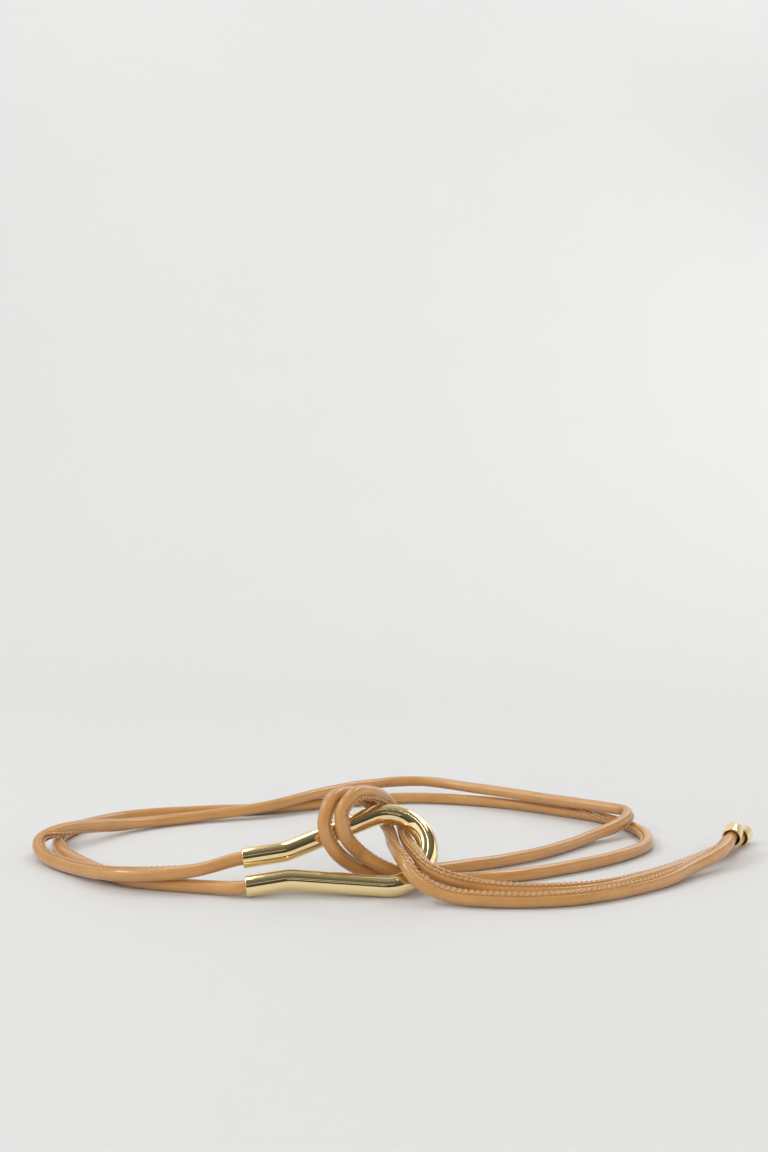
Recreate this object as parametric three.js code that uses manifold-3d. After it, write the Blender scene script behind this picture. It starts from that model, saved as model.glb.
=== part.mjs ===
// A wrap belt: two round leather strands set into the ends of a bent metal hook, tied once
// round the hook's upper leg, with a metal end cap on each free end. Millimetres, +Z up.
// It lies as it rests on a floor: X to the right, Y away from the front, floor at Z = 0.
import * as THREE from 'three';
import { mergeVertices } from 'three/addons/utils/BufferGeometryUtils.js';
import Module from 'manifold-3d';

// Strands
const STRAND_R = 3.25;          // half of a 6.5 mm strand
const STRAND_SIDES = 10;
const STEPS_PER_SPAN = 2;

// Hook, drawn flat: p runs from the socket mouths to the bend, q across the hook
const BAR_R = 5;                // half of a 10 mm bar
const BAR_SIDES = 24;
const SOCKET_LENGTH = 21;       // mouth to kink
const LEG_OFFSET = 7.7;         // half the distance between the two sockets
const BEND_R = 19.8;            // to the bar's centre line
const BEND_P = 69.9;            // the bend's centre, from the mouths
const BEND_STEPS = 26;
const KINK_RUN = 3;             // the bar is straight this far on each side of a kink
const BORE_R = 3.6;
const BORE_DEPTH = 14;

// How the hook lies: turned in its own plane, leaning back, resting on one socket and the bend
const HOOK_TURN = THREE.MathUtils.degToRad(10.3);
const HOOK_LEAN = THREE.MathUtils.degToRad(45);
const MOUTH_X = -67.2;

// End caps
const CAP_R = 5;
const CAP_LENGTH = 12;
const CAP_BORE_R = 4.2;
const CAP_BORE_DEPTH = 9.5;
const CAP_EDGE = 0.7;
const CAP_SIDES = 24;
const CAP_AXIS_Z = CAP_R * Math.cos(Math.PI / CAP_SIDES);

// The middle of the whole belt in plan, so that the origin ends up under its centre
const CENTRE_X = 9;
const CENTRE_Y = 98;

// Route columns: x, y, z of the strand's centre line, starting inside the hook's socket
const UPPER_ROUTE = [
  // out of the upper socket, over the lower strand and down to the floor
  [-61.7, 11.6, 16.6], [-71.5, 10.3, 15.3], [-91, 5.5, 11.2], [-127, 11, 7.6], [-159, 37.5, 4],
  // round the left side, over the lower strand again
  [-181, 62, 5], [-185, 77, 8.6], [-174.5, 91.5, 10.6],
  // along the back
  [-147, 125.5, 4.8], [-112, 147, 3.8], [-74, 160.5, 6.4], [-40, 181.5, 10.4], [-12, 204, 11],
  [22, 213, 11.4], [60, 192.5, 11], [98, 166, 10.6],
  // round the right side and back towards the hook
  [129, 143.5, 10.6], [141, 130, 10.7], [136, 116, 8.4], [118, 101, 4.6], [82, 65.5, 3.5],
  [44, 43, 3.5],
  // through the hook and up round its upper leg
  [8, 27, 4.3], [-12, 19, 8.2], [-25, 9, 21], [-29, 7.5, 33], [-25.5, 13, 43.9],
  [-17, 23.5, 45.1], [-6.5, 40, 35.2], [1.6, 36.5, 24.8],
  // forward through the hook and over its bend
  [4.9, 18.5, 19.8], [9.8, -2, 17], [15.5, -10.5, 11], [28, -13.5, 5.4],
  // the free end on the floor
  [54, -17, 3.5], [91, -12.5, 3.45], [135, 13.5, 3.45],
  // up over the other strand's end, into its cap
  [157.5, 35.5, 5.2], [175.3, 52.1, 8.5], [187.9, 74.6, 11.9],
];
const LOWER_ROUTE = [
  // out of the lower socket and along the floor
  [-58.9, 0.9, 5.9], [-68.8, -0.4, 4.6], [-84, 4.5, 3.5], [-124.5, 17, 3.4], [-146.5, 36, 3.4],
  // round the left side
  [-166, 60, 3.4], [-178, 84, 3.4], [-179.5, 110.5, 3.4], [-170, 135, 3.4],
  // along the back
  [-148.5, 153.5, 3.4], [-112, 163.5, 3.4], [-70.5, 171, 3.4], [-28, 188, 3.4],
  [16.5, 200, 3.4], [64, 190, 3.4], [105, 166, 3.4],
  // round the right side and back towards the hook
  [132.5, 143, 3.4], [146, 114, 3.4], [144, 86, 3.4], [125.5, 62.5, 3.4], [94.5, 40, 3.4],
  [57.5, 22.5, 3.4],
  // through the hook and up round its upper leg
  [20, 16.5, 4.2], [1, 16.5, 9.2], [-11.5, 14.5, 17], [-19, 7.5, 28], [-20.5, 8, 39],
  [-14.8, 13, 46.2], [-6.3, 24, 45.1], [1.8, 39.5, 37.2], [8.4, 39.5, 27],
  // forward through the hook and over its bend
  [10.9, 24.5, 21.8], [15.2, 4, 20.1], [21.8, -6.2, 15], [46, -5, 6],
  // the free end on the floor, passing under the other one's cap, into its own
  [96, 0, 3.4], [131, 21, 3.4], [174, 66, 3.4], [190, 82.6, 4.3], [199.7, 99.1, 4.9],
];

// Each cap's mouth: x, y, z of its middle, then degrees the cap is turned to the right and tipped up
const UPPER_CAP = [184.9, 68.1, 11, 22, 8];
const LOWER_CAP = [196.4, 93, CAP_AXIS_Z, 29, 0];

const wasm = await Module();
wasm.setup();

// A smooth line through the points, stepped evenly from each point to the next, so that
// points set close together give short steps
class SteppedPath extends THREE.CatmullRomCurve3 {
  getUtoTmapping(u) {
    return u;
  }
}

// A line of straight runs through the points, one step to a run
class StraightRuns extends THREE.Curve {
  constructor(points) {
    super();
    this.points = points;
  }

  getPoint(t, target = new THREE.Vector3()) {
    const runs = this.points.length - 1;
    const at = THREE.MathUtils.clamp(t, 0, 1) * runs;
    const i = Math.min(Math.floor(at), runs - 1);
    return target.lerpVectors(this.points[i], this.points[i + 1], at - i);
  }

  getUtoTmapping(u) {
    return u;
  }
}

function roundSection(radius, sides) {
  const shape = new THREE.Shape();
  for (let i = 0; i < sides; i += 1) {
    const a = (2 * Math.PI * i) / sides;
    const x = radius * Math.cos(a);
    const y = radius * Math.sin(a);
    if (i === 0) shape.moveTo(x, y);
    else shape.lineTo(x, y);
  }
  shape.closePath();
  return shape;
}

function tubeAlong(path, radius, sides, steps) {
  return new THREE.ExtrudeGeometry(roundSection(radius, sides), {
    steps,
    extrudePath: path,
    curveSegments: 1,
    bevelEnabled: false,
  });
}

function weld(geometry) {
  const plain = new THREE.BufferGeometry();
  plain.setAttribute('position', geometry.getAttribute('position').clone());
  if (geometry.index) plain.setIndex(geometry.index.clone());
  return mergeVertices(plain, 1e-4);
}

function toSolid(geometry) {
  const g = weld(geometry);
  return new wasm.Manifold(new wasm.Mesh({
    numProp: 3,
    vertProperties: new Float32Array(g.getAttribute('position').array),
    triVerts: new Uint32Array(g.index.array),
  }));
}

function fromSolid(solid) {
  const m = solid.getMesh();
  const g = new THREE.BufferGeometry();
  g.setAttribute('position', new THREE.BufferAttribute(new Float32Array(m.vertProperties), 3));
  g.setIndex(new THREE.BufferAttribute(new Uint32Array(m.triVerts), 1));
  return g;
}

// The bar's centre line, drawn flat from one socket mouth round to the other
function hookLine() {
  const reach = BEND_P - SOCKET_LENGTH;
  const toBend = Math.hypot(reach, LEG_OFFSET);
  const spread = Math.asin(BEND_R / toBend) - Math.atan2(LEG_OFFSET, reach);
  const half = [
    [0, LEG_OFFSET],
    [SOCKET_LENGTH - KINK_RUN, LEG_OFFSET],
    [SOCKET_LENGTH, LEG_OFFSET],
    [SOCKET_LENGTH + KINK_RUN * Math.cos(spread), LEG_OFFSET + KINK_RUN * Math.sin(spread)],
  ];
  const points = half.map(([p, q]) => new THREE.Vector3(p, q, 0));
  const first = Math.PI / 2 + spread;
  for (let i = 0; i <= BEND_STEPS; i += 1) {
    const a = first - (2 * first * i) / BEND_STEPS;
    points.push(new THREE.Vector3(BEND_P + BEND_R * Math.cos(a), BEND_R * Math.sin(a), 0));
  }
  half.reverse().forEach(([p, q]) => points.push(new THREE.Vector3(p, -q, 0)));
  return points;
}

function socketBore(side) {
  const bore = new THREE.CylinderGeometry(BORE_R, BORE_R, BORE_DEPTH + 1, BAR_SIDES);
  bore.rotateZ(Math.PI / 2);
  bore.translate((BORE_DEPTH + 1) / 2 - 1, side * LEG_OFFSET, 0);
  return bore;
}

function hookGeometry() {
  const line = hookLine();
  const bar = tubeAlong(new StraightRuns(line), BAR_R, BAR_SIDES, line.length - 1);
  const solid = toSolid(bar).subtract(toSolid(socketBore(1))).subtract(toSolid(socketBore(-1)));
  const g = fromSolid(solid);
  g.rotateZ(HOOK_TURN);
  g.translate(MOUTH_X, LEG_OFFSET * Math.cos(HOOK_TURN), 0);
  g.rotateX(HOOK_LEAN);
  g.computeBoundingBox();
  g.translate(0, 0, -g.boundingBox.min.z);
  return g;
}

function strandGeometry(route) {
  const path = new SteppedPath(route.map(([x, y, z]) => new THREE.Vector3(x, y, z)));
  return weld(tubeAlong(path, STRAND_R, STRAND_SIDES, (route.length - 1) * STEPS_PER_SPAN));
}

// A short cup, closed at its far end, with one of its flats facing down
function capGeometry([x, y, z, turn, rise]) {
  const profile = [
    [0, CAP_BORE_DEPTH],
    [CAP_BORE_R, CAP_BORE_DEPTH],
    [CAP_BORE_R, 0],
    [CAP_R, 0],
    [CAP_R, CAP_LENGTH - CAP_EDGE],
    [CAP_R - CAP_EDGE, CAP_LENGTH],
    [0, CAP_LENGTH],
  ];
  const cup = new THREE.LatheGeometry(profile.map(([r, h]) => new THREE.Vector2(r, h)), CAP_SIDES);
  cup.rotateY(Math.PI / CAP_SIDES);
  cup.rotateX(THREE.MathUtils.degToRad(rise));
  cup.rotateZ(-THREE.MathUtils.degToRad(turn));
  cup.translate(x, y, z);
  return weld(cup);
}

function piece(name, geometry, colour, roughness, metalness) {
  geometry.translate(-CENTRE_X, -CENTRE_Y, 0);
  geometry.computeVertexNormals();
  const mesh = new THREE.Mesh(
    geometry,
    new THREE.MeshStandardMaterial({ color: colour, roughness, metalness }),
  );
  mesh.name = name;
  return mesh;
}

const LEATHER = 0xb98549;
const GOLD = 0xd8b26a;

const group = new THREE.Group();
group.name = 'wrap_belt';
group.add(
  piece('hook', hookGeometry(), GOLD, 0.15, 1),
  piece('upper_strand', strandGeometry(UPPER_ROUTE), LEATHER, 0.55, 0),
  piece('lower_strand', strandGeometry(LOWER_ROUTE), LEATHER, 0.55, 0),
  piece('upper_strand_cap', capGeometry(UPPER_CAP), GOLD, 0.15, 1),
  piece('lower_strand_cap', capGeometry(LOWER_CAP), GOLD, 0.15, 1),
);

export default group;
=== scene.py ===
"""A wrap belt of two stitched leather strands, tied round a polished metal hook, on a pale floor."""

import math

import bpy
import numpy as np
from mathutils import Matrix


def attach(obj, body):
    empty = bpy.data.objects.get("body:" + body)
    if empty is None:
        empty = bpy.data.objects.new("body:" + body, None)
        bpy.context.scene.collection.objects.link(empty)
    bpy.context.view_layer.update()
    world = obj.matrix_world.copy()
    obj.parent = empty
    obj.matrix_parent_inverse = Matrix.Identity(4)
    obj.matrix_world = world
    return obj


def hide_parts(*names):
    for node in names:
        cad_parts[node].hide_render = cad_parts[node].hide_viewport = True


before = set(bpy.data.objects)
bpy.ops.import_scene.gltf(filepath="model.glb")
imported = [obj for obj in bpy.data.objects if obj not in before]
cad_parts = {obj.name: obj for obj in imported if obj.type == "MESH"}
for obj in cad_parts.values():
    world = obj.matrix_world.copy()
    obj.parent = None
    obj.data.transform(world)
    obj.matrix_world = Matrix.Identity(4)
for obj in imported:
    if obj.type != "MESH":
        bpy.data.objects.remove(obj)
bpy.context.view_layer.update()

MM = 0.001
CENTRE_X = 9.0                  # the middle of the belt in plan, on the floor
CENTRE_Y = 98.0

# Camera, in the routes' axes and millimetres
CAMERA_PLACE = (0.0, -575.34, 174.8)
CAMERA_TILT = math.radians(87.84)
CAMERA_LENS = 57.19
SENSOR_WIDTH = 36.0

# Strands, in millimetres
STRAND_R = 3.25
STRAND_SIDES = 52
RING_STEP = 0.72
SPAN_STEPS = 48                 # fine steps from each route point to the next
SEAM_AVERAGE = 21               # rings over which the seam's turns are evened out
BEND_AVERAGE = 7                # and the bends
SKIN_INSET = 0.05               # room for the skin's unevenness

# Seam: heights and lengths in millimetres, angles in radians from the seam's middle
LIP_HEIGHT = 0.62               # how far the seam's two lips stand out of the round strand
LIP_ANGLE = 0.24
LIP_WIDTH = 0.15
SWELL_HEIGHT = 0.16             # a low swelling under the whole seam
SWELL_WIDTH = 0.44
SIDE_GROOVE_DEPTH = 0.16        # along the outer side of the stitch holes
SIDE_GROOVE_ANGLE = 0.52
SIDE_GROOVE_WIDTH = 0.10
STITCH_ANGLE = 0.47             # to the stitch holes
STITCH_START = 0.04             # to where the two legs of a stitch begin
STITCH_PITCH = 2.9
STITCH_SLANT = 1.6              # along the strand, from the seam's middle back to the hole
THREAD_R = 0.32
THREAD_SIDES = 6
THREAD_STEPS = 7
SOCKET_HIDES = 8.0              # length at each end of a strand that has no stitches
CAP_HIDES = 9.0
SOCKET_FADE = 3.0               # the seam grows from this far inside each end
CAP_FADE = 6.0
FADE_LENGTH = 12.0              # to its full height over this length
FADE_LEAST = 0.25               # and is nowhere lower than this share of it

# Creases on the inside of tight bends, in millimetres
CREASE_FROM = 0.13              # strand radius over bend radius where they begin
CREASE_RANGE = 0.17             # and how much more makes them full
CREASE_DEPTH = 0.7
CREASE_PITCH = 2.45
FINE_CREASE_PITCH = 1.45
FINE_CREASE_SHARE = 0.45

# Hook and caps, in millimetres
BAR_R = 5.0
SOCKET_LENGTH = 21.0
LEG_OFFSET = 7.7
BEND_R = 19.8
BEND_P = 69.9
KINK_RUN = 2.6
HOOK_TURN = math.radians(10.3)
HOOK_LEAN = math.radians(45)
MOUTH_X = -67.2
HOOK_SIDES = 72
SOCKET_STEPS = 11
KINK_STEPS = 8
LEG_STEPS = 15
BEND_STEPS = 96
CAP_SIDES = 64

# Each cap's mouth: x, y, z of its middle, then degrees the cap is turned to the right and tipped up
UPPER_CAP = (184.9, 68.1, 11.0, 22.0, 8.0)
LOWER_CAP = (196.4, 93.0, 5.0, 29.0, 0.0)

# Mouth columns: distance in from the mouth, radius. It runs from the bore's floor to the outside
MOUTH = [(14.0, 0.02), (14.0, 3.5), (13.9, 3.6), (6.0, 3.6), (0.5, 3.6), (0.2, 3.64), (0.05, 3.76),
         (0.0, 3.95), (0.0, 4.6), (0.06, 4.82), (0.2, 4.95), (0.45, 5.0)]

# Cap columns: distance from the mouth, radius. It runs from the bore's floor to the closed end
CAP_PROFILE = [(9.5, 0.02), (9.5, 4.0), (9.35, 4.15), (9.0, 4.2), (5.0, 4.2), (0.4, 4.2),
               (0.15, 4.24), (0.03, 4.34), (0.0, 4.48), (0.0, 4.72), (0.05, 4.87), (0.18, 4.97),
               (0.4, 5.0), (3.0, 5.0), (6.0, 5.0), (9.0, 5.0), (10.6, 5.0), (11.1, 4.94),
               (11.5, 4.76), (11.8, 4.46), (11.95, 4.1), (12.0, 3.6), (12.0, 0.02)]

# Route columns: x, y, z of the strand's centre line, from inside its socket into its cap
UPPER_ROUTE = [
    # out of the upper socket, over the lower strand and down to the floor
    (-61.7, 11.6, 16.6), (-71.5, 10.3, 15.3), (-91, 5.5, 11.2), (-127, 11, 7.6), (-159, 37.5, 4),
    # round the left side, over the lower strand again
    (-181, 62, 5), (-185, 77, 8.6), (-174.5, 91.5, 10.6),
    # along the back
    (-147, 125.5, 4.8), (-112, 147, 3.8), (-74, 160.5, 6.4), (-40, 181.5, 10.4), (-12, 204, 11),
    (22, 213, 11.4), (60, 192.5, 11), (98, 166, 10.6),
    # round the right side and back towards the hook
    (129, 143.5, 10.6), (141, 130, 10.7), (136, 116, 8.4), (118, 101, 4.6), (82, 65.5, 3.5),
    (44, 43, 3.5),
    # through the hook and up round its upper leg
    (8, 27, 4.3), (-12, 19, 8.2), (-25, 9, 21), (-29, 7.5, 33), (-25.5, 13, 43.9),
    (-17, 23.5, 45.1), (-6.5, 40, 35.2), (1.6, 36.5, 24.8),
    # forward through the hook and over its bend
    (4.9, 18.5, 19.8), (9.8, -2, 17), (15.5, -10.5, 11), (28, -13.5, 5.4),
    # the free end on the floor
    (54, -17, 3.5), (91, -12.5, 3.45), (135, 13.5, 3.45),
    # up over the other strand's end, into its cap
    (157.5, 35.5, 5.2), (175.3, 52.1, 8.5), (187.9, 74.6, 11.9),
]
LOWER_ROUTE = [
    # out of the lower socket and along the floor
    (-58.9, 0.9, 5.9), (-68.8, -0.4, 4.6), (-84, 4.5, 3.5), (-124.5, 17, 3.4), (-146.5, 36, 3.4),
    # round the left side
    (-166, 60, 3.4), (-178, 84, 3.4), (-179.5, 110.5, 3.4), (-170, 135, 3.4),
    # along the back
    (-148.5, 153.5, 3.4), (-112, 163.5, 3.4), (-70.5, 171, 3.4), (-28, 188, 3.4),
    (16.5, 200, 3.4), (64, 190, 3.4), (105, 166, 3.4),
    # round the right side and back towards the hook
    (132.5, 143, 3.4), (146, 114, 3.4), (144, 86, 3.4), (125.5, 62.5, 3.4), (94.5, 40, 3.4),
    (57.5, 22.5, 3.4),
    # through the hook and up round its upper leg
    (20, 16.5, 4.2), (1, 16.5, 9.2), (-11.5, 14.5, 17), (-19, 7.5, 28), (-20.5, 8, 39),
    (-14.8, 13, 46.2), (-6.3, 24, 45.1), (1.8, 39.5, 37.2), (8.4, 39.5, 27),
    # forward through the hook and over its bend
    (10.9, 24.5, 21.8), (15.2, 4, 20.1), (21.8, -6.2, 15), (46, -5, 6),
    # the free end on the floor, passing under the other one's cap, into its own
    (96, 0, 3.4), (131, 21, 3.4), (174, 66, 3.4), (190, 82.6, 4.3), (199.7, 99.1, 4.9),
]

# Which way the seam faces. Columns: number of the route point, then the direction
UPPER_SEAM = [
    (0, (0.0, 0.95, 0.15)), (2, (0.1, 0.9, 0.35)), (3, (0.0, 0.5, 0.86)), (4, (0.3, 0.2, 0.93)),
    (5, (0.45, -0.1, 0.88)), (6, (0.85, -0.1, 0.5)), (7, (0.4, -0.4, -0.8)),
    (8, (-0.1, 0.5, -0.85)), (9, (-0.3, 0.9, -0.2)), (11, (-0.3, 0.95, 0.1)),
    (15, (0.4, 0.9, 0.0)), (17, (0.9, 0.3, -0.3)), (18, (0.5, -0.2, -0.85)),
    (19, (-0.5, 0.6, -0.6)), (20, (-0.4, 0.9, 0.0)), (22, (-0.3, 0.8, 0.2)), (24, (0.8, 0.5, 0.3)),
    (25, (0.95, 0.05, 0.0)), (26, (0.6, -0.1, -0.75)), (27, (0.1, -0.3, -0.95)),
    (29, (-0.1, -1.0, -0.1)), (30, (0.0, 0.0, 1.0)), (31, (0.3, -0.05, 0.93)),
    (32, (0.5, 0.0, 0.85)), (33, (0.3, -0.2, 0.93)), (35, (0.0, -0.12, 0.99)),
    (36, (-0.1, 0.1, 0.97)), (37, (-0.4, 0.6, 0.65)), (39, (-0.6, 0.7, 0.2)),
]
LOWER_SEAM = [
    (0, (0.0, 0.95, 0.1)), (3, (0.4, 0.9, 0.1)), (5, (0.7, 0.5, 0.5)), (6, (0.8, 0.1, 0.6)),
    (7, (-0.1, 0.2, 0.97)), (8, (-0.8, 0.6, 0.2)), (10, (-0.3, 0.95, 0.1)), (14, (0.3, 0.95, 0.0)),
    (15, (0.3, 0.7, 0.6)), (16, (-0.75, -0.6, 0.05)), (17, (-0.95, -0.1, 0.1)),
    (18, (-0.9, 0.3, 0.1)), (20, (-0.5, 0.8, 0.0)), (23, (-0.2, 0.8, 0.5)), (25, (0.8, 0.5, 0.3)),
    (26, (0.9, 0.1, -0.2)), (27, (0.5, -0.3, -0.8)), (28, (0.2, -0.35, -0.9)),
    (30, (-0.1, -1.0, -0.1)), (31, (-0.6, -0.2, 0.8)), (32, (-0.6, -0.3, 0.72)),
    (33, (-0.1, -0.55, 0.75)), (34, (0.05, -0.2, 0.97)), (35, (0.0, 0.05, 0.99)),
    (36, (-0.4, 0.7, 0.5)), (37, (-0.6, 0.8, 0.0)), (39, (-0.7, 0.6, 0.0)),
]

# Colours
TAN_DEEP = (0.455, 0.211, 0.052)
TAN_LIGHT = (0.550, 0.266, 0.073)
TAN_WORN = (0.68, 0.355, 0.110)
TAN_ON_LIPS = (0.66, 0.34, 0.110)        # on the seam's lips
# Painted shade: darker leather along the seam's middle, round the stitch holes and in the creases
TAN_PAINTED_SHADE = (0.150, 0.055, 0.015)        # in stitch holes and creases
THREAD_DEEP = (0.62, 0.37, 0.165)
THREAD_LIGHT = (0.74, 0.47, 0.235)
GOLD_DEEP = (0.98, 0.765, 0.405)
GOLD_LIGHT = (1.0, 0.800, 0.450)
FLOOR_DEEP = (0.70, 0.70, 0.70)
FLOOR_LIGHT = (0.72, 0.72, 0.72)

# Floor and backdrop, in metres
FLOOR_ROWS = (-6.0, -2.0, -0.6, 0.0, 0.6)
FLOOR_HALF_WIDTH = 5.0
FLOOR_COLUMNS = 7
FLOOR_DROP = 0.00008            # keeps the floor's face clear of the belt's underside
BACKDROP_R = 0.9
BACKDROP_STEPS = 32
BACKDROP_TOP = 1.9

# Room columns: height of the view from 0 at the horizon to 1 overhead, brightness, share of blue
ROOM = [(0.0, 0.85, 1.0), (0.05, 0.85, 1.0), (0.08, 0.06, 0.85), (0.31, 0.065, 0.85),
        (0.5, 0.085, 0.85), (0.85, 0.14, 0.85), (0.95, 0.22, 0.85), (1.0, 0.30, 0.85)]


def in_part(points):
    """Millimetres in the routes' own axes to metres in the part's axes."""
    return (np.asarray(points, float) - (CENTRE_X, CENTRE_Y, 0.0)) * MM


def studio_camera():
    data = bpy.data.cameras.new("studio_camera")
    data.sensor_fit = "HORIZONTAL"
    data.sensor_width = SENSOR_WIDTH
    data.lens = CAMERA_LENS
    camera = bpy.data.objects.new("studio_camera", data)
    camera.location = in_part(CAMERA_PLACE)
    camera.rotation_euler = (CAMERA_TILT, 0.0, 0.0)
    bpy.context.scene.collection.objects.link(camera)
    bpy.context.scene.camera = camera


# Lines
def unit(v):
    return v / np.maximum(np.linalg.norm(v, axis=-1, keepdims=True), 1e-12)


def averaged(values, width):
    return np.convolve(values, np.ones(width) / width, "same")


def read_off(s, at, rows):
    """The rows' values at lengths s, where at holds each row's own length."""
    return np.column_stack([np.interp(s, at, rows[:, k]) for k in range(3)])


def part_way(u, start, end, first, last):
    """The value at time u, going evenly from first at the start to last at the end."""
    return (end - u) / (end - start) * first + (u - start) / (end - start) * last


def smooth_line(points, step):
    """A smooth line through the points, sampled every step; also where each point falls on it."""
    p = np.asarray(points, float)
    p = np.vstack([2 * p[0] - p[1], p, 2 * p[-1] - p[-2]])
    fine = []
    for i in range(1, len(p) - 2):
        p0, p1, p2, p3 = p[i - 1:i + 3]
        t0 = 0.0
        t1 = t0 + np.linalg.norm(p1 - p0) ** 0.5
        t2 = t1 + np.linalg.norm(p2 - p1) ** 0.5
        t3 = t2 + np.linalg.norm(p3 - p2) ** 0.5
        u = t1 + (t2 - t1) * np.arange(SPAN_STEPS)[:, None] / SPAN_STEPS
        a1 = part_way(u, t0, t1, p0, p1)
        a2 = part_way(u, t1, t2, p1, p2)
        a3 = part_way(u, t2, t3, p2, p3)
        b1 = part_way(u, t0, t2, a1, a2)
        b2 = part_way(u, t1, t3, a2, a3)
        fine.append(part_way(u, t1, t2, b1, b2))
    fine = np.vstack(fine + [p[-2][None]])
    run = np.r_[0.0, np.cumsum(np.linalg.norm(np.diff(fine, axis=0), axis=1))]
    at = np.linspace(0.0, run[-1], int(round(run[-1] / step)) + 1)
    return read_off(at, run, fine), at, run[::SPAN_STEPS]


def steady_frames(line):
    """Tangents, and side and top directions that don't twist along the line."""
    tangent = unit(np.gradient(line, axis=0))
    side = np.zeros_like(line)
    side[0] = unit(np.cross(tangent[0], (0.0, 0.0, 1.0)))
    for i in range(1, len(line)):
        side[i] = unit(side[i - 1] - tangent[i] * np.dot(side[i - 1], tangent[i]))
    return tangent, side, np.cross(tangent, side)


def seam_angles(at, knots, side, top, table):
    """The seam's angle round the strand at each ring, turning evenly between the table's rows."""
    rings = [int(np.argmin(np.abs(at - knots[number]))) for number, direction in table]
    angles = []
    for i, (number, direction) in zip(rings, table):
        angles.append(math.atan2(np.dot(direction, top[i]), np.dot(direction, side[i])))
    turned = np.interp(at, at[rings], np.unwrap(angles))
    padded = np.pad(turned, SEAM_AVERAGE, mode="edge")
    return averaged(padded, SEAM_AVERAGE)[SEAM_AVERAGE:-SEAM_AVERAGE]


# Meshes
def mesh_object(name, verts, faces, material):
    mesh = bpy.data.meshes.new(name)
    mesh.from_pydata([tuple(v) for v in verts], [], faces)
    mesh.validate()
    mesh.update()
    mesh.shade_smooth()
    mesh.materials.append(material)
    piece = bpy.data.objects.new(name, mesh)
    bpy.context.scene.collection.objects.link(piece)
    return piece


def ring_faces(rings, sides, start=0):
    faces = []
    for i in range(rings - 1):
        a = start + i * sides
        b = a + sides
        for j in range(sides):
            k = (j + 1) % sides
            faces.append((a + j, a + k, b + k, b + j))
    return faces


def closed_tube(rings, sides, start=0):
    """The faces of a row of rings, with a flat face at each end."""
    last = start + (rings - 1) * sides
    faces = ring_faces(rings, sides, start)
    faces.append(tuple(start + j for j in reversed(range(sides))))
    faces.append(tuple(last + j for j in range(sides)))
    return faces


# Strands
class Strand:
    """The centre line of one strand, with its frames, its seam and how sharply it bends."""

    def __init__(self, route, seam_table):
        self.line, self.at, knots = smooth_line(route, RING_STEP)
        tangent, self.side, self.top = steady_frames(self.line)
        self.seam = seam_angles(self.at, knots, self.side, self.top, seam_table)
        bend = np.gradient(tangent, self.at, axis=0)
        self.bend = np.column_stack([averaged(bend[:, k], BEND_AVERAGE) for k in range(3)])
        self.length = float(self.at[-1])

    def surface(self, s, angle, lift):
        """Points above the strand at lengths s and at angles from the seam, in millimetres."""
        side = unit(read_off(s, self.at, self.side))
        top = unit(read_off(s, self.at, self.top))
        turned = np.interp(s, self.at, self.seam) + angle
        out = np.cos(turned)[:, None] * side + np.sin(turned)[:, None] * top
        radius = STRAND_R + self.fullness(s) * seam_rise(angle, s) + lift
        return read_off(s, self.at, self.line) + out * radius[:, None]

    def fullness(self, s):
        """How fully the seam stands out: less where the strand enters its socket or its cap."""
        inside = np.minimum(s - SOCKET_FADE, self.length - s - CAP_FADE)
        return np.clip(inside / FADE_LENGTH, FADE_LEAST, 1.0)


def stitch_phase(angle, s):
    """1 under a stitch, -1 midway between two, following the slant of the stitches."""
    slant = STITCH_SLANT * (np.minimum(np.abs(angle) / STITCH_ANGLE, 1.0) - 0.5)
    return np.cos(2 * np.pi * (s + slant) / STITCH_PITCH)


def seam_rise(angle, s):
    """How far the seam stands out: two lips with a groove between, drawn in at every stitch."""
    x = np.abs(angle)
    lips = LIP_HEIGHT * np.exp(-((x - LIP_ANGLE) / LIP_WIDTH) ** 2)
    swell = SWELL_HEIGHT * np.exp(-(x / SWELL_WIDTH) ** 4)
    grooves = SIDE_GROOVE_DEPTH * np.exp(-((x - SIDE_GROOVE_ANGLE) / SIDE_GROOVE_WIDTH) ** 2)
    return lips * (0.78 - 0.22 * stitch_phase(angle, s)) + swell - grooves


def creases(strand, s, a, out):
    """How deeply the leather is creased, from 0 to 1, on the inside of the tight bends."""
    sharp = np.linalg.norm(strand.bend, axis=1)[:, None]
    strength = np.clip((sharp * STRAND_R - CREASE_FROM) / CREASE_RANGE, 0.0, 1.0)
    facing = np.clip((out * unit(strand.bend)[:, None]).sum(-1), 0.0, 1.0)
    coarse = np.sin(2 * np.pi * s / CREASE_PITCH + 1.1 * np.sin(2 * a) + 1.7 * np.sin(s / 5.3))
    fine = np.sin(2 * np.pi * s / FINE_CREASE_PITCH + 2.0 * np.cos(a) + 1.1 * np.sin(s / 3.1))
    wave = (coarse + FINE_CREASE_SHARE * fine) / (1.0 + FINE_CREASE_SHARE)
    return strength * facing ** 0.8 * (0.5 - 0.5 * wave) ** 1.5


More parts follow.
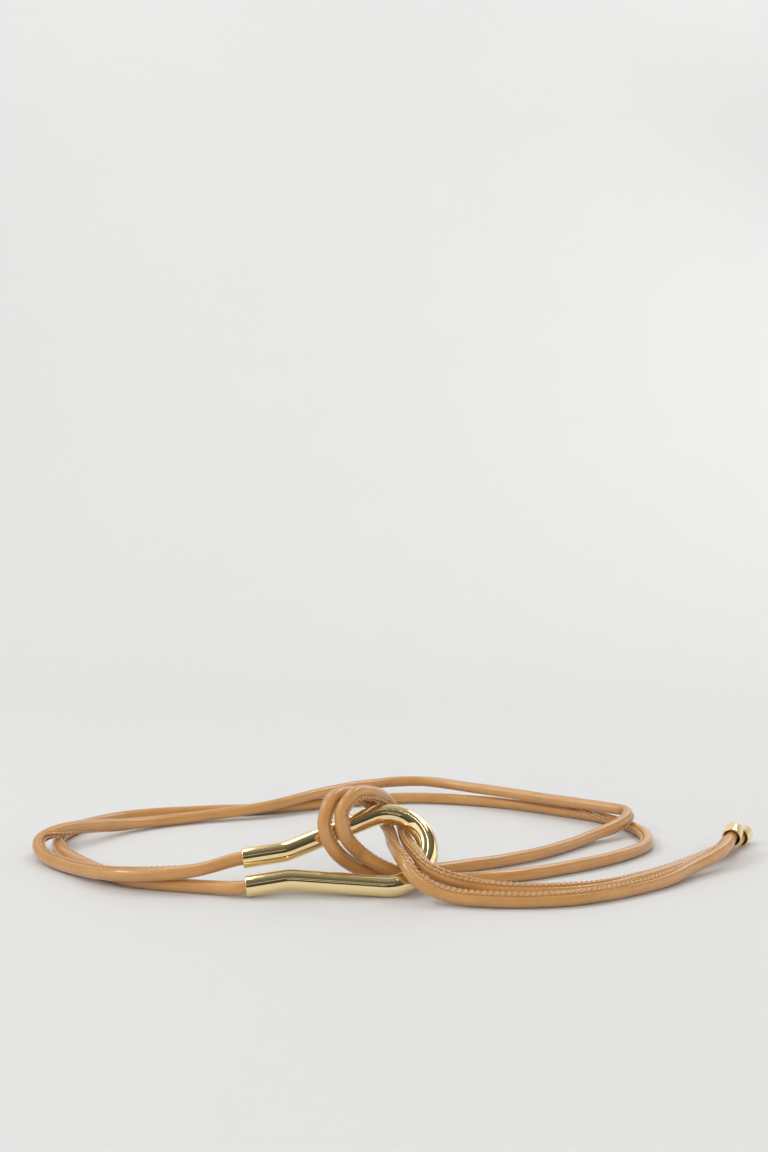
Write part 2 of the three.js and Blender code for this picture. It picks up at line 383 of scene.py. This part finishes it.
def leather_strand(name, strand, material):
    """The strand's skin, closed at both ends, with its seam and the creases of its tight bends."""
    rings = len(strand.line)
    even = np.linspace(-np.pi, np.pi, STRAND_SIDES, endpoint=False)
    a = np.broadcast_to(even - 0.5 * np.sin(even), (rings, STRAND_SIDES))
    s = np.broadcast_to(strand.at[:, None], a.shape)
    turned = strand.seam[:, None] + a
    out = (np.cos(turned)[..., None] * strand.side[:, None]
           + np.sin(turned)[..., None] * strand.top[:, None])
    crease = creases(strand, s, a, out)
    uneven = 0.05 * np.sin(s / 11.0 + a) + 0.04 * np.sin(s / 4.7 + 2 * a + 1.3)
    rise = strand.fullness(s) * seam_rise(a, s)
    radius = STRAND_R - SKIN_INSET + uneven + rise - CREASE_DEPTH * crease
    skin = in_part(strand.line[:, None] + out * radius[..., None]).reshape(-1, 3)
    ends = in_part(strand.line[[0, -1]])
    faces = ring_faces(rings, STRAND_SIDES)
    first = len(skin)
    last = first - STRAND_SIDES
    for j in range(STRAND_SIDES):
        k = (j + 1) % STRAND_SIDES
        faces.append((first, k, j))
        faces.append((first + 1, last + j, last + k))
    piece = mesh_object(name, np.vstack([skin, ends]), faces, material)
    # Masks for the colour: the seam's lips, and painted shade along the seam's middle, round the
    # stitch holes and in the creases
    ridge = np.exp(-((np.abs(a) - LIP_ANGLE) / 0.16) ** 2)
    holes = np.exp(-((np.abs(a) - STITCH_ANGLE) / 0.10) ** 2)
    groove = np.maximum(np.exp(-(a / 0.10) ** 2), holes * (0.55 + 0.45 * stitch_phase(a, s)))
    for label, values in (("seam_ridge", ridge), ("seam_groove_shade", groove), ("crease", crease)):
        attribute = piece.data.attributes.new(label, "FLOAT", "POINT")
        attribute.data.foreach_set("value", np.r_[values.ravel(), 0.0, 0.0].astype(np.float32))
    return piece


def seam_thread(name, strand, material):
    """Slanting stitches over the seam's lips, two legs to each, as short bent threads."""
    starts = np.arange(SOCKET_HIDES, strand.length - CAP_HIDES, STITCH_PITCH)
    starts = np.round(starts / STITCH_PITCH) * STITCH_PITCH
    u = np.linspace(0.0, 1.0, THREAD_STEPS + 1)
    along = STITCH_SLANT * (0.5 - u)
    lift = THREAD_R * (0.7 - 1.5 * np.abs(2 * u - 0.95) ** 5)
    radius = THREAD_R * np.sqrt(np.clip(1 - (2 * u - 1) ** 8, 0.05, 1))
    turn = 2 * np.pi * np.arange(THREAD_SIDES) / THREAD_SIDES
    verts, faces = [], []
    for leg in (1.0, -1.0):
        angle = leg * (STITCH_START + (STITCH_ANGLE - STITCH_START) * u)
        for start in starts:
            path = strand.surface(start + along, angle, lift)
            t = unit(np.gradient(path, axis=0))
            outward = path - read_off(start, strand.at, strand.line)
            up = unit(outward - t * (outward * t).sum(1)[:, None])
            across = np.cross(up, t)
            ring = (np.cos(turn)[None, :, None] * across[:, None]
                    + np.sin(turn)[None, :, None] * up[:, None])
            faces += closed_tube(len(u), THREAD_SIDES, len(verts) * len(u) * THREAD_SIDES)
            verts.append((path[:, None] + radius[:, None, None] * ring).reshape(-1, 3))
    return mesh_object(name, in_part(np.vstack(verts)), faces, material)


# Metal pieces
def hook_line():
    """The bar's centre line drawn flat, with rounded kinks, from one socket mouth to the other."""
    reach = BEND_P - SOCKET_LENGTH
    to_bend = math.hypot(reach, LEG_OFFSET)
    spread = math.asin(BEND_R / to_bend) - math.atan2(LEG_OFFSET, reach)
    first = math.pi / 2 + spread
    bend = []
    for a in np.linspace(first, -first, BEND_STEPS + 1):
        bend.append(np.array((BEND_P + BEND_R * math.cos(a), BEND_R * math.sin(a))))
    kink = np.array((SOCKET_LENGTH, LEG_OFFSET))
    to_kink = np.array((KINK_RUN, 0.0))
    from_kink = KINK_RUN * np.array((math.cos(spread), math.sin(spread)))
    half = []
    for x in np.linspace(0.5, SOCKET_LENGTH - KINK_RUN, SOCKET_STEPS + 1):
        half.append(np.array((x, LEG_OFFSET)))
    for u in np.linspace(0.0, 1.0, KINK_STEPS + 1)[1:]:
        half.append((1 - u) * (kink - to_kink * (1 - u)) + u * (kink + from_kink * u))
    leg_start = half[-1]
    for u in np.linspace(0.0, 1.0, LEG_STEPS + 1)[1:-1]:
        half.append(leg_start + (bend[0] - leg_start) * u)
    return np.array(half + bend + [(x, -y) for x, y in reversed(half)])


def rotated(x, y, angle):
    """A plane's x and y, turned by an angle."""
    c, s = math.cos(angle), math.sin(angle)
    return c * x - s * y, s * x + c * y


def hook_piece(name, material):
    """The bar with its two bored ends, laid down as the belt rests on it."""
    line = hook_line()
    tangent = unit(np.gradient(line, axis=0))
    rings = [((d, LEG_OFFSET), (1.0, 0.0), r) for d, r in MOUTH]
    rings += [(tuple(p), tuple(t), BAR_R) for p, t in zip(line, tangent)]
    rings += [((d, -LEG_OFFSET), (-1.0, 0.0), r) for d, r in reversed(MOUTH)]
    turn = 2 * np.pi * np.arange(HOOK_SIDES) / HOOK_SIDES
    verts = []
    for (p, q), (tp, tq), r in rings:
        flat = r * np.cos(turn)
        verts.append(np.column_stack([p - tq * flat, q + tp * flat, r * np.sin(turn)]))
    x, y, z = np.vstack(verts).T
    x, y = rotated(x, y, HOOK_TURN)
    y, z = rotated(y + LEG_OFFSET * math.cos(HOOK_TURN), z, HOOK_LEAN)
    verts = in_part(np.column_stack([x + MOUTH_X, y, z - z.min()]))
    return mesh_object(name, verts, closed_tube(len(rings), HOOK_SIDES), material)


def cap_piece(name, cap, material):
    """A bored cup over a strand's end, turned and tipped as its row says."""
    angle = 2 * np.pi * np.arange(CAP_SIDES)[:, None] / CAP_SIDES
    turn, rise = math.radians(cap[3]), math.radians(cap[4])
    axis = np.array([math.cos(rise) * math.sin(turn), math.cos(rise) * math.cos(turn),
                     math.sin(rise)])
    across = np.array([math.cos(turn), -math.sin(turn), 0.0])
    up = np.cross(across, axis)
    ring = np.cos(angle) * across + np.sin(angle) * up
    verts = np.vstack([np.array(cap[:3]) + axis * d + r * ring for d, r in CAP_PROFILE])
    faces = [tuple(reversed(face)) for face in closed_tube(len(CAP_PROFILE), CAP_SIDES)]
    return mesh_object(name, in_part(verts), faces, material)


# Nodes
def set_socket(tree, socket, value):
    """Links the socket to another node's output, or sets its number or colour."""
    if isinstance(value, bpy.types.NodeSocket):
        tree.links.new(value, socket)
    elif isinstance(value, tuple):
        socket.default_value = (*value, 1.0)
    else:
        socket.default_value = value


def calc(tree, operation, *values, clamp=False):
    node = tree.nodes.new("ShaderNodeMath")
    node.operation = operation
    node.use_clamp = clamp
    for value, socket in zip(values, node.inputs):
        set_socket(tree, socket, value)
    return node.outputs[0]


def mix_colour(tree, factor, first, second):
    node = tree.nodes.new("ShaderNodeMix")
    node.data_type = "RGBA"
    set_socket(tree, node.inputs[0], factor)
    set_socket(tree, node.inputs[6], first)
    set_socket(tree, node.inputs[7], second)
    return node.outputs[2]


def pattern(tree, kind, scale):
    """A texture node laid in the object's own axes."""
    node = tree.nodes.new(kind)
    place = tree.nodes.new("ShaderNodeTexCoord")
    tree.links.new(place.outputs["Object"], node.inputs["Vector"])
    set_socket(tree, node.inputs["Scale"], scale)
    return node


def noise(tree, scale, detail):
    node = pattern(tree, "ShaderNodeTexNoise", scale)
    node.inputs["Detail"].default_value = detail
    return node


def mask(tree, name):
    """A value that the mesh holds at each of its points."""
    node = tree.nodes.new("ShaderNodeAttribute")
    node.attribute_name = name
    return node.outputs["Fac"]


def new_group(name, entries, result):
    """A node group with number inputs, each with its default, and one number output."""
    group = bpy.data.node_groups.new(name, "ShaderNodeTree")
    for label, value in entries.items():
        socket = group.interface.new_socket(label, in_out="INPUT", socket_type="NodeSocketFloat")
        socket.default_value = value
    group.interface.new_socket(result, in_out="OUTPUT", socket_type="NodeSocketFloat")
    entry = group.nodes.new("NodeGroupInput")
    leave = group.nodes.new("NodeGroupOutput")
    return group, entry.outputs, leave.inputs[result]


def mottle_group():
    """Soft, uneven patches from 0 to 1, for tone and polish that change over a surface."""
    group, entry, result = new_group("soft_mottle", {"Patch Size": 0.02, "Contrast": 1.0}, "Mask")
    patches = noise(group, calc(group, "DIVIDE", 1.0, entry["Patch Size"]), 4.0)
    patches.inputs["Roughness"].default_value = 0.55
    shift = calc(group, "SUBTRACT", patches.outputs["Fac"], 0.5)
    spread = calc(group, "MULTIPLY_ADD", shift, entry["Contrast"], 0.5, clamp=True)
    group.links.new(spread, result)
    return group


def grain_group():
    """Pebbled leather grain: small cells with soft creases between them, and fine pores."""
    group, entry, result = new_group("leather_grain", {"Grain Size": 0.0007, "Pores": 0.4}, "Height")
    scale = calc(group, "DIVIDE", 1.0, entry["Grain Size"])
    cells = pattern(group, "ShaderNodeTexVoronoi", scale)
    cells.feature = "SMOOTH_F1"
    cells.inputs["Smoothness"].default_value = 0.6
    pores = noise(group, calc(group, "MULTIPLY", scale, 2.7), 3.0)
    pitted = calc(group, "MULTIPLY", pores.outputs["Fac"], entry["Pores"])
    group.links.new(calc(group, "SUBTRACT", pitted, cells.outputs["Distance"]), result)
    return group


def group_output(tree, group, values):
    """The output of a node group placed in a material with its own values."""
    node = tree.nodes.new("ShaderNodeGroup")
    node.node_tree = group
    for label, value in values.items():
        node.inputs[label].default_value = value
    return node.outputs[0]


def mottled(tree, mottle, patch_size, contrast):
    return group_output(tree, mottle, {"Patch Size": patch_size, "Contrast": contrast})


# Materials
def new_material(name):
    material = bpy.data.materials.new(name)
    material.use_nodes = True
    tree = material.node_tree
    return material, tree, tree.nodes["Principled BSDF"]


def relief(tree, shader, height, strength, depth):
    """Relief too fine for the mesh, with its depth in metres."""
    bump = tree.nodes.new("ShaderNodeBump")
    bump.inputs["Strength"].default_value = strength
    bump.inputs["Distance"].default_value = depth
    tree.links.new(height, bump.inputs["Height"])
    tree.links.new(bump.outputs["Normal"], shader.inputs["Normal"])


def tan_leather(mottle, grain):
    material, tree, shader = new_material("tan_leather")
    tone = mottled(tree, mottle, 0.012, 2.2)
    worn = calc(tree, "MULTIPLY", mottled(tree, mottle, 0.0016, 1.6), 0.22)
    # A lighter tan on the seam's lips
    on_lips = calc(tree, "MULTIPLY", mask(tree, "seam_ridge"), 0.35)
    # Painted shade along the seam's middle groove and round the stitch holes
    seam_shade = calc(tree, "MULTIPLY", mask(tree, "seam_groove_shade"), 0.8)
    # Painted shade in the creases on the inside of the tight bends
    crease_shade = calc(tree, "MULTIPLY", mask(tree, "crease"), 0.9)
    dark = calc(tree, "MAXIMUM", seam_shade, crease_shade)
    colour = mix_colour(tree, tone, TAN_DEEP, TAN_LIGHT)
    colour = mix_colour(tree, worn, colour, TAN_WORN)
    colour = mix_colour(tree, on_lips, colour, TAN_ON_LIPS)
    # The painted shade of the seam, the stitch holes and the creases, mixed into the colour
    colour = mix_colour(tree, dark, colour, TAN_PAINTED_SHADE)
    tree.links.new(colour, shader.inputs["Base Color"])
    tree.links.new(calc(tree, "MULTIPLY_ADD", tone, 0.12, 0.40), shader.inputs["Roughness"])
    shader.inputs["Specular IOR Level"].default_value = 0.5
    shader.inputs["Coat Weight"].default_value = 1.0
    shader.inputs["Coat Roughness"].default_value = 0.17
    pebbles = group_output(tree, grain, {"Grain Size": 0.00075, "Pores": 0.5})
    relief(tree, shader, pebbles, 0.35, 0.00012)
    return material


def waxed_thread(mottle):
    material, tree, shader = new_material("waxed_thread")
    colour = mix_colour(tree, mottled(tree, mottle, 0.004, 2.0), THREAD_DEEP, THREAD_LIGHT)
    tree.links.new(colour, shader.inputs["Base Color"])
    shader.inputs["Roughness"].default_value = 0.5
    twist = pattern(tree, "ShaderNodeTexWave", 900.0)
    twist.bands_direction = "DIAGONAL"
    twist.inputs["Distortion"].default_value = 2.0
    relief(tree, shader, twist.outputs["Fac"], 0.4, 0.00006)
    return material


def gold_metal(mottle):
    material, tree, shader = new_material("gold_metal")
    colour = mix_colour(tree, mottled(tree, mottle, 0.03, 1.5), GOLD_DEEP, GOLD_LIGHT)
    handled = mottled(tree, mottle, 0.006, 2.5)
    tree.links.new(colour, shader.inputs["Base Color"])
    tree.links.new(calc(tree, "MULTIPLY_ADD", handled, 0.035, 0.045), shader.inputs["Roughness"])
    shader.inputs["Metallic"].default_value = 1.0
    relief(tree, shader, noise(tree, 160.0, 2.0).outputs["Fac"], 0.12, 0.00006)
    return material


def pale_floor(mottle):
    material, tree, shader = new_material("pale_floor")
    colour = mix_colour(tree, mottled(tree, mottle, 0.9, 0.8), FLOOR_DEEP, FLOOR_LIGHT)
    tree.links.new(colour, shader.inputs["Base Color"])
    shader.inputs["Roughness"].default_value = 0.6
    shader.inputs["Specular IOR Level"].default_value = 0.25
    return material


# Studio
def sweep(material):
    """A floor that curves up into a backdrop behind the belt."""
    bend_y = FLOOR_ROWS[-1]
    profile = [(y, 0.0) for y in FLOOR_ROWS]
    for a in np.linspace(0, math.pi / 2, BACKDROP_STEPS + 1)[1:]:
        profile.append((bend_y + BACKDROP_R * math.sin(a), BACKDROP_R * (1 - math.cos(a))))
    profile.append((bend_y + BACKDROP_R, BACKDROP_TOP))
    xs = np.linspace(-FLOOR_HALF_WIDTH, FLOOR_HALF_WIDTH, FLOOR_COLUMNS)
    verts = [(x, y, z - FLOOR_DROP) for y, z in profile for x in xs]
    faces = []
    for i in range(len(profile) - 1):
        for j in range(len(xs) - 1):
            a = i * len(xs) + j
            faces.append((a, a + 1, a + 1 + len(xs), a + len(xs)))
    mesh_object("floor", verts, faces, material)


def soft_light(name, place, aim, size, glow, turn=0.0, shine=True):
    """A softbox of the given brightness at its face, turned in plan by some degrees.

    Without shine it lights the set, but isn't seen in reflections.
    """
    data = bpy.data.lights.new(name, "AREA")
    data.shape = "RECTANGLE"
    data.size, data.size_y = size
    data.energy = glow * math.pi * size[0] * size[1]
    light = bpy.data.objects.new(name, data)
    light.location = place
    light.visible_glossy = shine
    away = np.array(aim, float) - np.array(place, float)
    flat = math.hypot(away[0], away[1])
    heading = math.atan2(-away[0], away[1]) + math.radians(turn)
    light.rotation_euler = (math.atan2(flat, -away[2]), 0.0, heading)
    bpy.context.scene.collection.objects.link(light)


def room():
    """The room round the set: pale low down, dark at eye level, a little paler overhead."""
    world = bpy.data.worlds.new("room")
    bpy.context.scene.world = world
    world.use_nodes = True
    tree = world.node_tree
    air = tree.nodes["Background"]
    place = tree.nodes.new("ShaderNodeTexCoord")
    split = tree.nodes.new("ShaderNodeSeparateXYZ")
    tree.links.new(place.outputs["Generated"], split.inputs[0])
    ramp = tree.nodes.new("ShaderNodeValToRGB")
    ramp.color_ramp.interpolation = "EASE"
    stops = ramp.color_ramp.elements
    while len(stops) < len(ROOM):
        stops.new(0.5)
    for stop, (height, glow, blue) in zip(stops, ROOM):
        stop.position = height
        stop.color = (glow, glow, glow * blue, 1.0)
    tree.links.new(split.outputs["Z"], ramp.inputs["Fac"])
    tree.links.new(ramp.outputs["Color"], air.inputs["Color"])


def studio():
    """The room and the softboxes, which also give the hook its bright bands."""
    room()
    soft_light("front_fill", (0.0, -2.2, 1.5), (0.0, 0.0, 0.1), (3.6, 2.2), 1.85, shine=False)
    soft_light("left_key", (-1.6, -0.2, 1.5), (0.0, 0.0, 0.0), (0.7, 0.4), 8.0)
    soft_light("left_overhead", (-0.655, 0.47, 1.8), (-0.655, 0.47, 0.0), (0.5, 1.2), 3.0, 7.0)
    soft_light("right_overhead", (0.76, 0.65, 1.8), (0.76, 0.65, 0.0), (0.4, 1.2), 5.0)
    soft_light("right_back", (0.88, 0.98, 1.1), (0.0, 0.0, 0.0), (0.5, 0.9), 1.5)
    soft_light("small_overhead", (0.06, -0.56, 1.8), (0.06, -0.56, 0.0), (0.07, 0.12), 9.0)
    soft_light("front_strip", (-0.2, -1.95, 1.38), (0.0, 0.0, 0.0), (0.95, 0.12), 0.9)
    soft_light("low_strip", (-0.38, -2.05, 0.85), (0.0, 0.0, 0.0), (0.71, 0.1), 1.0)
    soft_light("top_back", (0.0, 0.9, 2.1), (0.0, 0.9, 0.0), (2.4, 1.3), 0.3)
    soft_light("left_wall", (-1.5, -0.45, 0.95), (0.0, 0.0, 0.1), (1.9, 1.7), 0.9)
    soft_light("right_wall", (1.7, -0.1, 0.5), (0.0, 0.1, 0.1), (1.9, 1.0), 1.0)
    bpy.context.scene.view_settings.view_transform = "Standard"


studio_camera()
mottle = mottle_group()
leather = tan_leather(mottle, grain_group())
thread = waxed_thread(mottle)
gold = gold_metal(mottle)

for side, route, seam_table, cap_place in (
    ("upper", UPPER_ROUTE, UPPER_SEAM, UPPER_CAP),
    ("lower", LOWER_ROUTE, LOWER_SEAM, LOWER_CAP),
):
    strand = Strand(route, seam_table)
    skin = leather_strand(side + "_strand_leather", strand, leather)
    stitches = seam_thread(side + "_strand_stitches", strand, thread)
    cap = cap_piece(side + "_strand_end_cap", cap_place, gold)
    for piece in (skin, stitches, cap):
        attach(piece, "root")
    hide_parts(side + "_strand")
    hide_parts(side + "_strand_cap")

hook = hook_piece("polished_hook", gold)
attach(hook, "root")
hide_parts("hook")

sweep(pale_floor(mottle))
studio()
